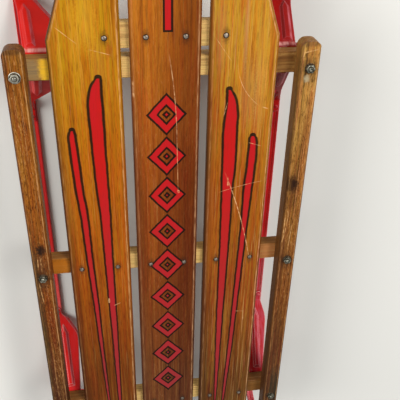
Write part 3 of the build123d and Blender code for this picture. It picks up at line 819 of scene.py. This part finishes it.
def enamelFinish():
    material, tree = newMaterial("redEnamelSteel")
    place = addNode(tree, "TexCoord", output="Object")
    across, ahead, up = addNode(tree, "SeparateXYZ", links={0: place}, output=None)
    cloud = addNode(tree, "TexNoise", {"Scale": 1 / (enamel["cloud"] * mm), "Detail": 4}, {"Vector": place})
    grit = addNode(tree, "TexNoise", {
        "Scale": 1 / (enamel["grit"] * mm), "Detail": 4, "Roughness": 0.7}, {"Vector": place})
    brushed = addNode(tree, "Mapping", {
        "Scale": [1 / (size * mm) for size in enamel["brushMarks"]]}, {"Vector": place})
    brushed = addNode(tree, "TexNoise", {"Scale": 1.0, "Detail": 3}, {"Vector": brushed})
    hard = addNode(tree, "NewGeometry", output="Normal")
    rounded = addNode(tree, "Bevel", {"samples": marks["bevelSamples"], "Radius": enamel["crease"] * mm})
    soft = addNode(tree, "Bevel", {"samples": marks["bevelSamples"], "Radius": enamel["edge"] * mm})
    creaseMatch, edgeMatch = [
        addNode(tree, "VectorMath", {"operation": "DOT_PRODUCT"}, {0: normal, 1: hard}, output="Value")
        for normal in (rounded, soft)
    ]
    rightward = addNode(tree, "SeparateXYZ", links={0: soft})
    mask = fadeMasks(tree, enamelMarks, {
        "across": across, "ahead": ahead, "up": up, "grit": grit, "brushed": brushed,
        "creaseMatch": creaseMatch, "edgeMatch": edgeMatch, "rightward": rightward,
    })

    # fresh and aged red in clouds, with painted shade deepening the front right and painted light freshening
    # the rear left, then a pink wash on the rear right, part fade and part painted reflection
    aged = addNode(tree, "Math", {"operation": "MULTIPLY"}, {0: mask["front"], 1: across})
    aged = addNode(tree, "Math", {
        "operation": "MULTIPLY_ADD", 1: enamel["rightShade"], "use_clamp": True}, {0: aged, 2: cloud})
    fresh = addNode(tree, "Math", {"operation": "MULTIPLY", 1: enamel["rearLeftLight"]}, {0: mask["left"]})
    fresh = overlap(tree, fresh, mask["behind"])
    aged = addNode(tree, "Math", {"operation": "SUBTRACT", "use_clamp": True}, {0: aged, 1: fresh})
    colour = addNode(tree, "Mix", {
        "data_type": "RGBA", 6: linearColour(enamel["red"]), 7: linearColour(enamel["deepAndShaded"]),
    }, {0: aged}, output=2)
    pinkFadeAndSheen = overlap(tree, mask["farRight"], mask["behind"], mask["brushed"])
    colour = blendColour(tree, pinkFadeAndSheen, colour, *enamel["pinkFadeAndSheen"])

    # painted highlights along the creases, stronger behind, rubbed edges that are paler where they face
    # right, partly a painted highlight, and a painted pink reflection on what faces right
    colour = blendColour(tree, mask["crease"], colour, enamel["pinkSheen"], enamel["creaseStrength"])
    glint = overlap(tree, mask["crease"], mask["behind"])
    colour = blendColour(tree, glint, colour, enamel["rubbed"], enamel["glintStrength"])
    edge = overlap(tree, mask["corner"], mask["worn"], mask["rightFacingLit"])
    colour = blendColour(tree, edge, colour, enamel["rubbed"], enamel["edgeStrength"])
    rightSheen = overlap(tree, mask["rightSheen"], mask["brushed"])
    colour = blendColour(tree, rightSheen, colour, enamel["pinkSheen"], enamel["rightSheenStrength"])

    # a painted highlight line along the front knees' bend, where they meet the bench
    gap, end, full = enamel["bendGlint"]
    bendGlint = addNode(tree, "Math", {
        "operation": "SUBTRACT", 1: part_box("bench_front")[1].y + gap * mm}, {0: ahead})
    bendGlint = addNode(tree, "Math", {"operation": "ABSOLUTE"}, {0: bendGlint})
    bendGlint = addNode(tree, "MapRange", {"From Min": end * mm, "From Max": full * mm}, {"Value": bendGlint})
    bendGlint = overlap(tree, bendGlint, mask["high"], mask["brushed"])
    colour = blendColour(tree, bendGlint, colour, enamel["rubbed"], enamel["bendGlintStrength"])
    colour = blendColour(tree, mask["chip"], colour, *enamel["rust"])

    rough = addNode(tree, "Math", {
        "operation": "MULTIPLY_ADD", 1: enamel["roughnessSpread"], 2: enamel["roughness"]}, {0: cloud})
    bump = addNode(tree, "Bump", enamel["bump"], {"Height": grit, "Normal": rounded})
    finishWith(tree, enamel["gloss"], {
        "Base Color": colour, "Roughness": rough, "Normal": bump, "Coat Normal": rounded})
    return material


# Plated steel gone dull, browner and rougher where the plating has worn through. Clouds are in mm.

metals = {
    # old zinc plate: light grey with soft grey clouds
    "dullZincSteel": {"dark": "#6A665A", "mid": "#B4B0A0", "light": "#EEEADA", "cloud": 5.0, "rough": 0.18},
    # the same plate gone brown and green, except under the bright rim
    "brownedSteel": {
        "dark": "#2A2E26", "mid": "#6A6A5A", "light": "#C8C6B2", "cloud": 4.0, "rough": 0.22,
        "bright": ((-182, 242), (14, 14), "#C4C0AE"),
    },
    # hammered rivets: warm grey tops with dark rims
    "rivetSteel": {
        "dark": "#54463A", "mid": "#9A8A7A", "light": "#CCBFB0", "cloud": 3.3, "rough": 0.24,
        "rim": "#2E2016",
    },
    # bare steel rusted through: dark brown and nearly matt
    "rustedSteel": {"dark": "#1C1610", "mid": "#4A3626", "light": "#7A6248", "cloud": 2.4, "rough": 0.40},
}
metalWear = {
    "stops": (0.32, 0.48, 0.68),            # dark, mid and light in the clouds
    "brightStrength": 0.8,
    "rimSlope": {"From Min": 0.97, "From Max": 0.86},
    "rimStrength": 0.9,
    "roughnessSpread": 0.4,
    "edge": 0.9,                            # mm, radius of a rounded edge
    "bump": {"Strength": 0.15, "Distance": 0.3 * mm},
    "metallic": 0.85,
}


def metalFinish(name):
    look = metals[name]
    material, tree = newMaterial(name)
    place = addNode(tree, "TexCoord", output="Object")
    cloud = addNode(tree, "TexNoise", {
        "Scale": 1 / (look["cloud"] * mm), "Detail": 5, "Roughness": 0.6}, {"Vector": place})
    tones = (look["dark"], look["mid"], look["light"])
    colour = addNode(tree, "ValToRGB", {"stops": list(zip(metalWear["stops"], tones))}, {"Fac": cloud})
    if "bright" in look:
        center, radii, tone = look["bright"]
        bright = spotMask(tree, place, center, radii, *marks["plateEdge"])
        colour = blendColour(tree, bright, colour, tone, metalWear["brightStrength"])
    if "rim" in look:
        normal = addNode(tree, "NewGeometry", output="Normal")
        upward = addNode(tree, "SeparateXYZ", links={0: normal}, output="Z")
        rim = addNode(tree, "MapRange", metalWear["rimSlope"], {"Value": upward})
        colour = blendColour(tree, rim, colour, look["rim"], metalWear["rimStrength"])
    rough = addNode(tree, "Math", {
        "operation": "MULTIPLY_ADD", 1: metalWear["roughnessSpread"], 2: look["rough"]}, {0: cloud})
    rounded = addNode(tree, "Bevel", {"samples": marks["bevelSamples"], "Radius": metalWear["edge"] * mm})
    bump = addNode(tree, "Bump", metalWear["bump"], {"Height": cloud, "Normal": rounded})
    finishWith(tree, {"Metallic": metalWear["metallic"]}, {
        "Base Color": colour, "Roughness": rough, "Normal": bump})
    return material


redFinish = enamelFinish()
zinc = metalFinish("dullZincSteel")
browned = metalFinish("brownedSteel")
rusted = metalFinish("rustedSteel")
rivetMetal = metalFinish("rivetSteel")
finishes.update({
    "bumper": redFinish, "pivot_bolt": zinc, "pivot_washer": zinc, "link_bolts": zinc, "rail_bolts": browned,
})
for node in nodes:
    if node.startswith(("knee", "runner")):
        finishes[node] = redFinish
for node, material in finishes.items():
    nodes[node].data.materials.clear()
    nodes[node].data.materials.append(material)
print("metal finished, and all", len(finishes), "nodes dressed")


# Rivets, washers and bolt ends

turning = {"steps": 32, "domeSteps": 24, "weld": 1e-6}      # steps to a turn, and metres


def makeTurned(name, places, profile, material, steps=turning["steps"], smooth=False):
    # profile is radius and height in mm, turned about an upright line through each place in metres
    mesh = bmesh.new()
    for x, y, z in places:
        rim = [mesh.verts.new((x + radius * mm, y, z + height * mm)) for radius, height in profile]
        edges = [mesh.edges.new(pair) for pair in zip(rim, rim[1:])]
        bmesh.ops.spin(
            mesh, geom=rim + edges, cent=(x, y, z), axis=(0, 0, 1), angle=2 * pi, steps=steps, use_merge=True,
        )
    bmesh.ops.remove_doubles(mesh, verts=mesh.verts, dist=turning["weld"])
    bmesh.ops.holes_fill(mesh, edges=mesh.edges, sides=0)
    bmesh.ops.recalc_face_normals(mesh, faces=mesh.faces)
    for face in mesh.faces:
        face.smooth = smooth
    piece = meshObject(name, mesh, material)
    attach(piece, "sled")


def makeDomes(name, places, size, way, material):
    # places are x and y in mm and the height in metres, and way is 1 for up and -1 for down
    radius, rise = size
    profile = [(radius * s, way * rise * h) for s, h in rivet["dome"] + [(1.0, -rivet["sink"])]]
    places = [(x * mm, y * mm, height) for x, y, height in places]
    makeTurned(name, places, profile, material, turning["domeSteps"], smooth=True)


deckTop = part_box("slat_center")[1].z
cleatBottom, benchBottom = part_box("front_cleat")[0].z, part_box("bench_middle")[0].z
headPlaces = [(x, y, deckTop) for x, y in rivetPlaces]
tailPlaces = [(x, y, cleatBottom if y == cleatY else benchBottom) for x, y in rivetPlaces]
makeDomes("slatRivets", headPlaces, rivet["head"], 1, rivetMetal)
makeDomes("rivetTails", tailPlaces, rivet["tail"], -1, rivetMetal)

runnerX = middleOf("runner_right").x / mm
footPlaces = []
for place in ("front", "rear"):
    low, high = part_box(f"knee_{place}_right")
    for y in (low.y / mm + rivet["footInset"], high.y / mm - rivet["footInset"]):
        footPlaces += [(sign * runnerX, y, low.z + rivet["kneeSheet"] * mm) for sign in (-1, 1)]
makeDomes("footRivets", footPlaces, rivet["foot"], 1, redFinish)
print("rivets made")

# Rusted washers under all the nuts, one of them still with a bright rim, and a thin dark ring of painted
# shade round each bolt end, in mm
washer = {"inner": 4.6, "outer": 6.9, "rise": 0.6, "edge": 0.3}
brightRim = {"inner": 6.4, "outer": 7.4, "rise": 1.2, "edge": 0.3}
boltEnd = {"radius": 2.7, "rise": 1.3, "edge": 0.6, "tip": 0.05, "shadeRing": 3.5, "depth": 0.05}


def ringProfile(inner, outer, rise, edge):
    top = [(inner, rise), (outer - edge, rise), (outer, rise - edge)]
    foot = boltEnd["depth"]
    return [(inner, foot), *top, (outer, foot), (inner, foot)]


railX = middleOf("rail_right").x
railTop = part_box("rail_left")[1].z
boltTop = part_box("rail_bolts")[1].z
washerPlaces = [(x, y * mm, railTop) for y in benchYs for x in (-railX, railX)]
brightPlaces = [place for place in washerPlaces if place[0] < 0 < place[1]]
endPlaces = [(x, y, boltTop) for x, y, z in washerPlaces]
brightEnds = [(x, y, boltTop) for x, y, z in brightPlaces]
dullEnds = [place for place in endPlaces if place not in brightEnds]
radius, rise, edge = boltEnd["radius"], boltEnd["rise"], boltEnd["edge"]
shadeRing, depth = boltEnd["shadeRing"], boltEnd["depth"]
endProfile = [(boltEnd["tip"], rise), (radius - edge, rise), (radius, rise - edge), (radius, 0.0)]
shadeRingProfile = [(radius, 0.0), (radius, depth), (shadeRing, depth), (shadeRing, 0.0), (radius, 0.0)]
for name, places, profile, material in (
    ("washers", washerPlaces, ringProfile(**washer), rusted),
    ("brightRim", brightPlaces, ringProfile(**brightRim), zinc),
    ("brightBoltEnd", brightEnds, endProfile, zinc),
    ("boltEnds", dullEnds, endProfile, browned),
    # a thin dark ring round each bolt end: painted shade in the gap at the nut
    ("boltShadeRings", endPlaces, shadeRingProfile, rusted),
):
    makeTurned(name, places, profile, material)
print("washers and bolt ends made")
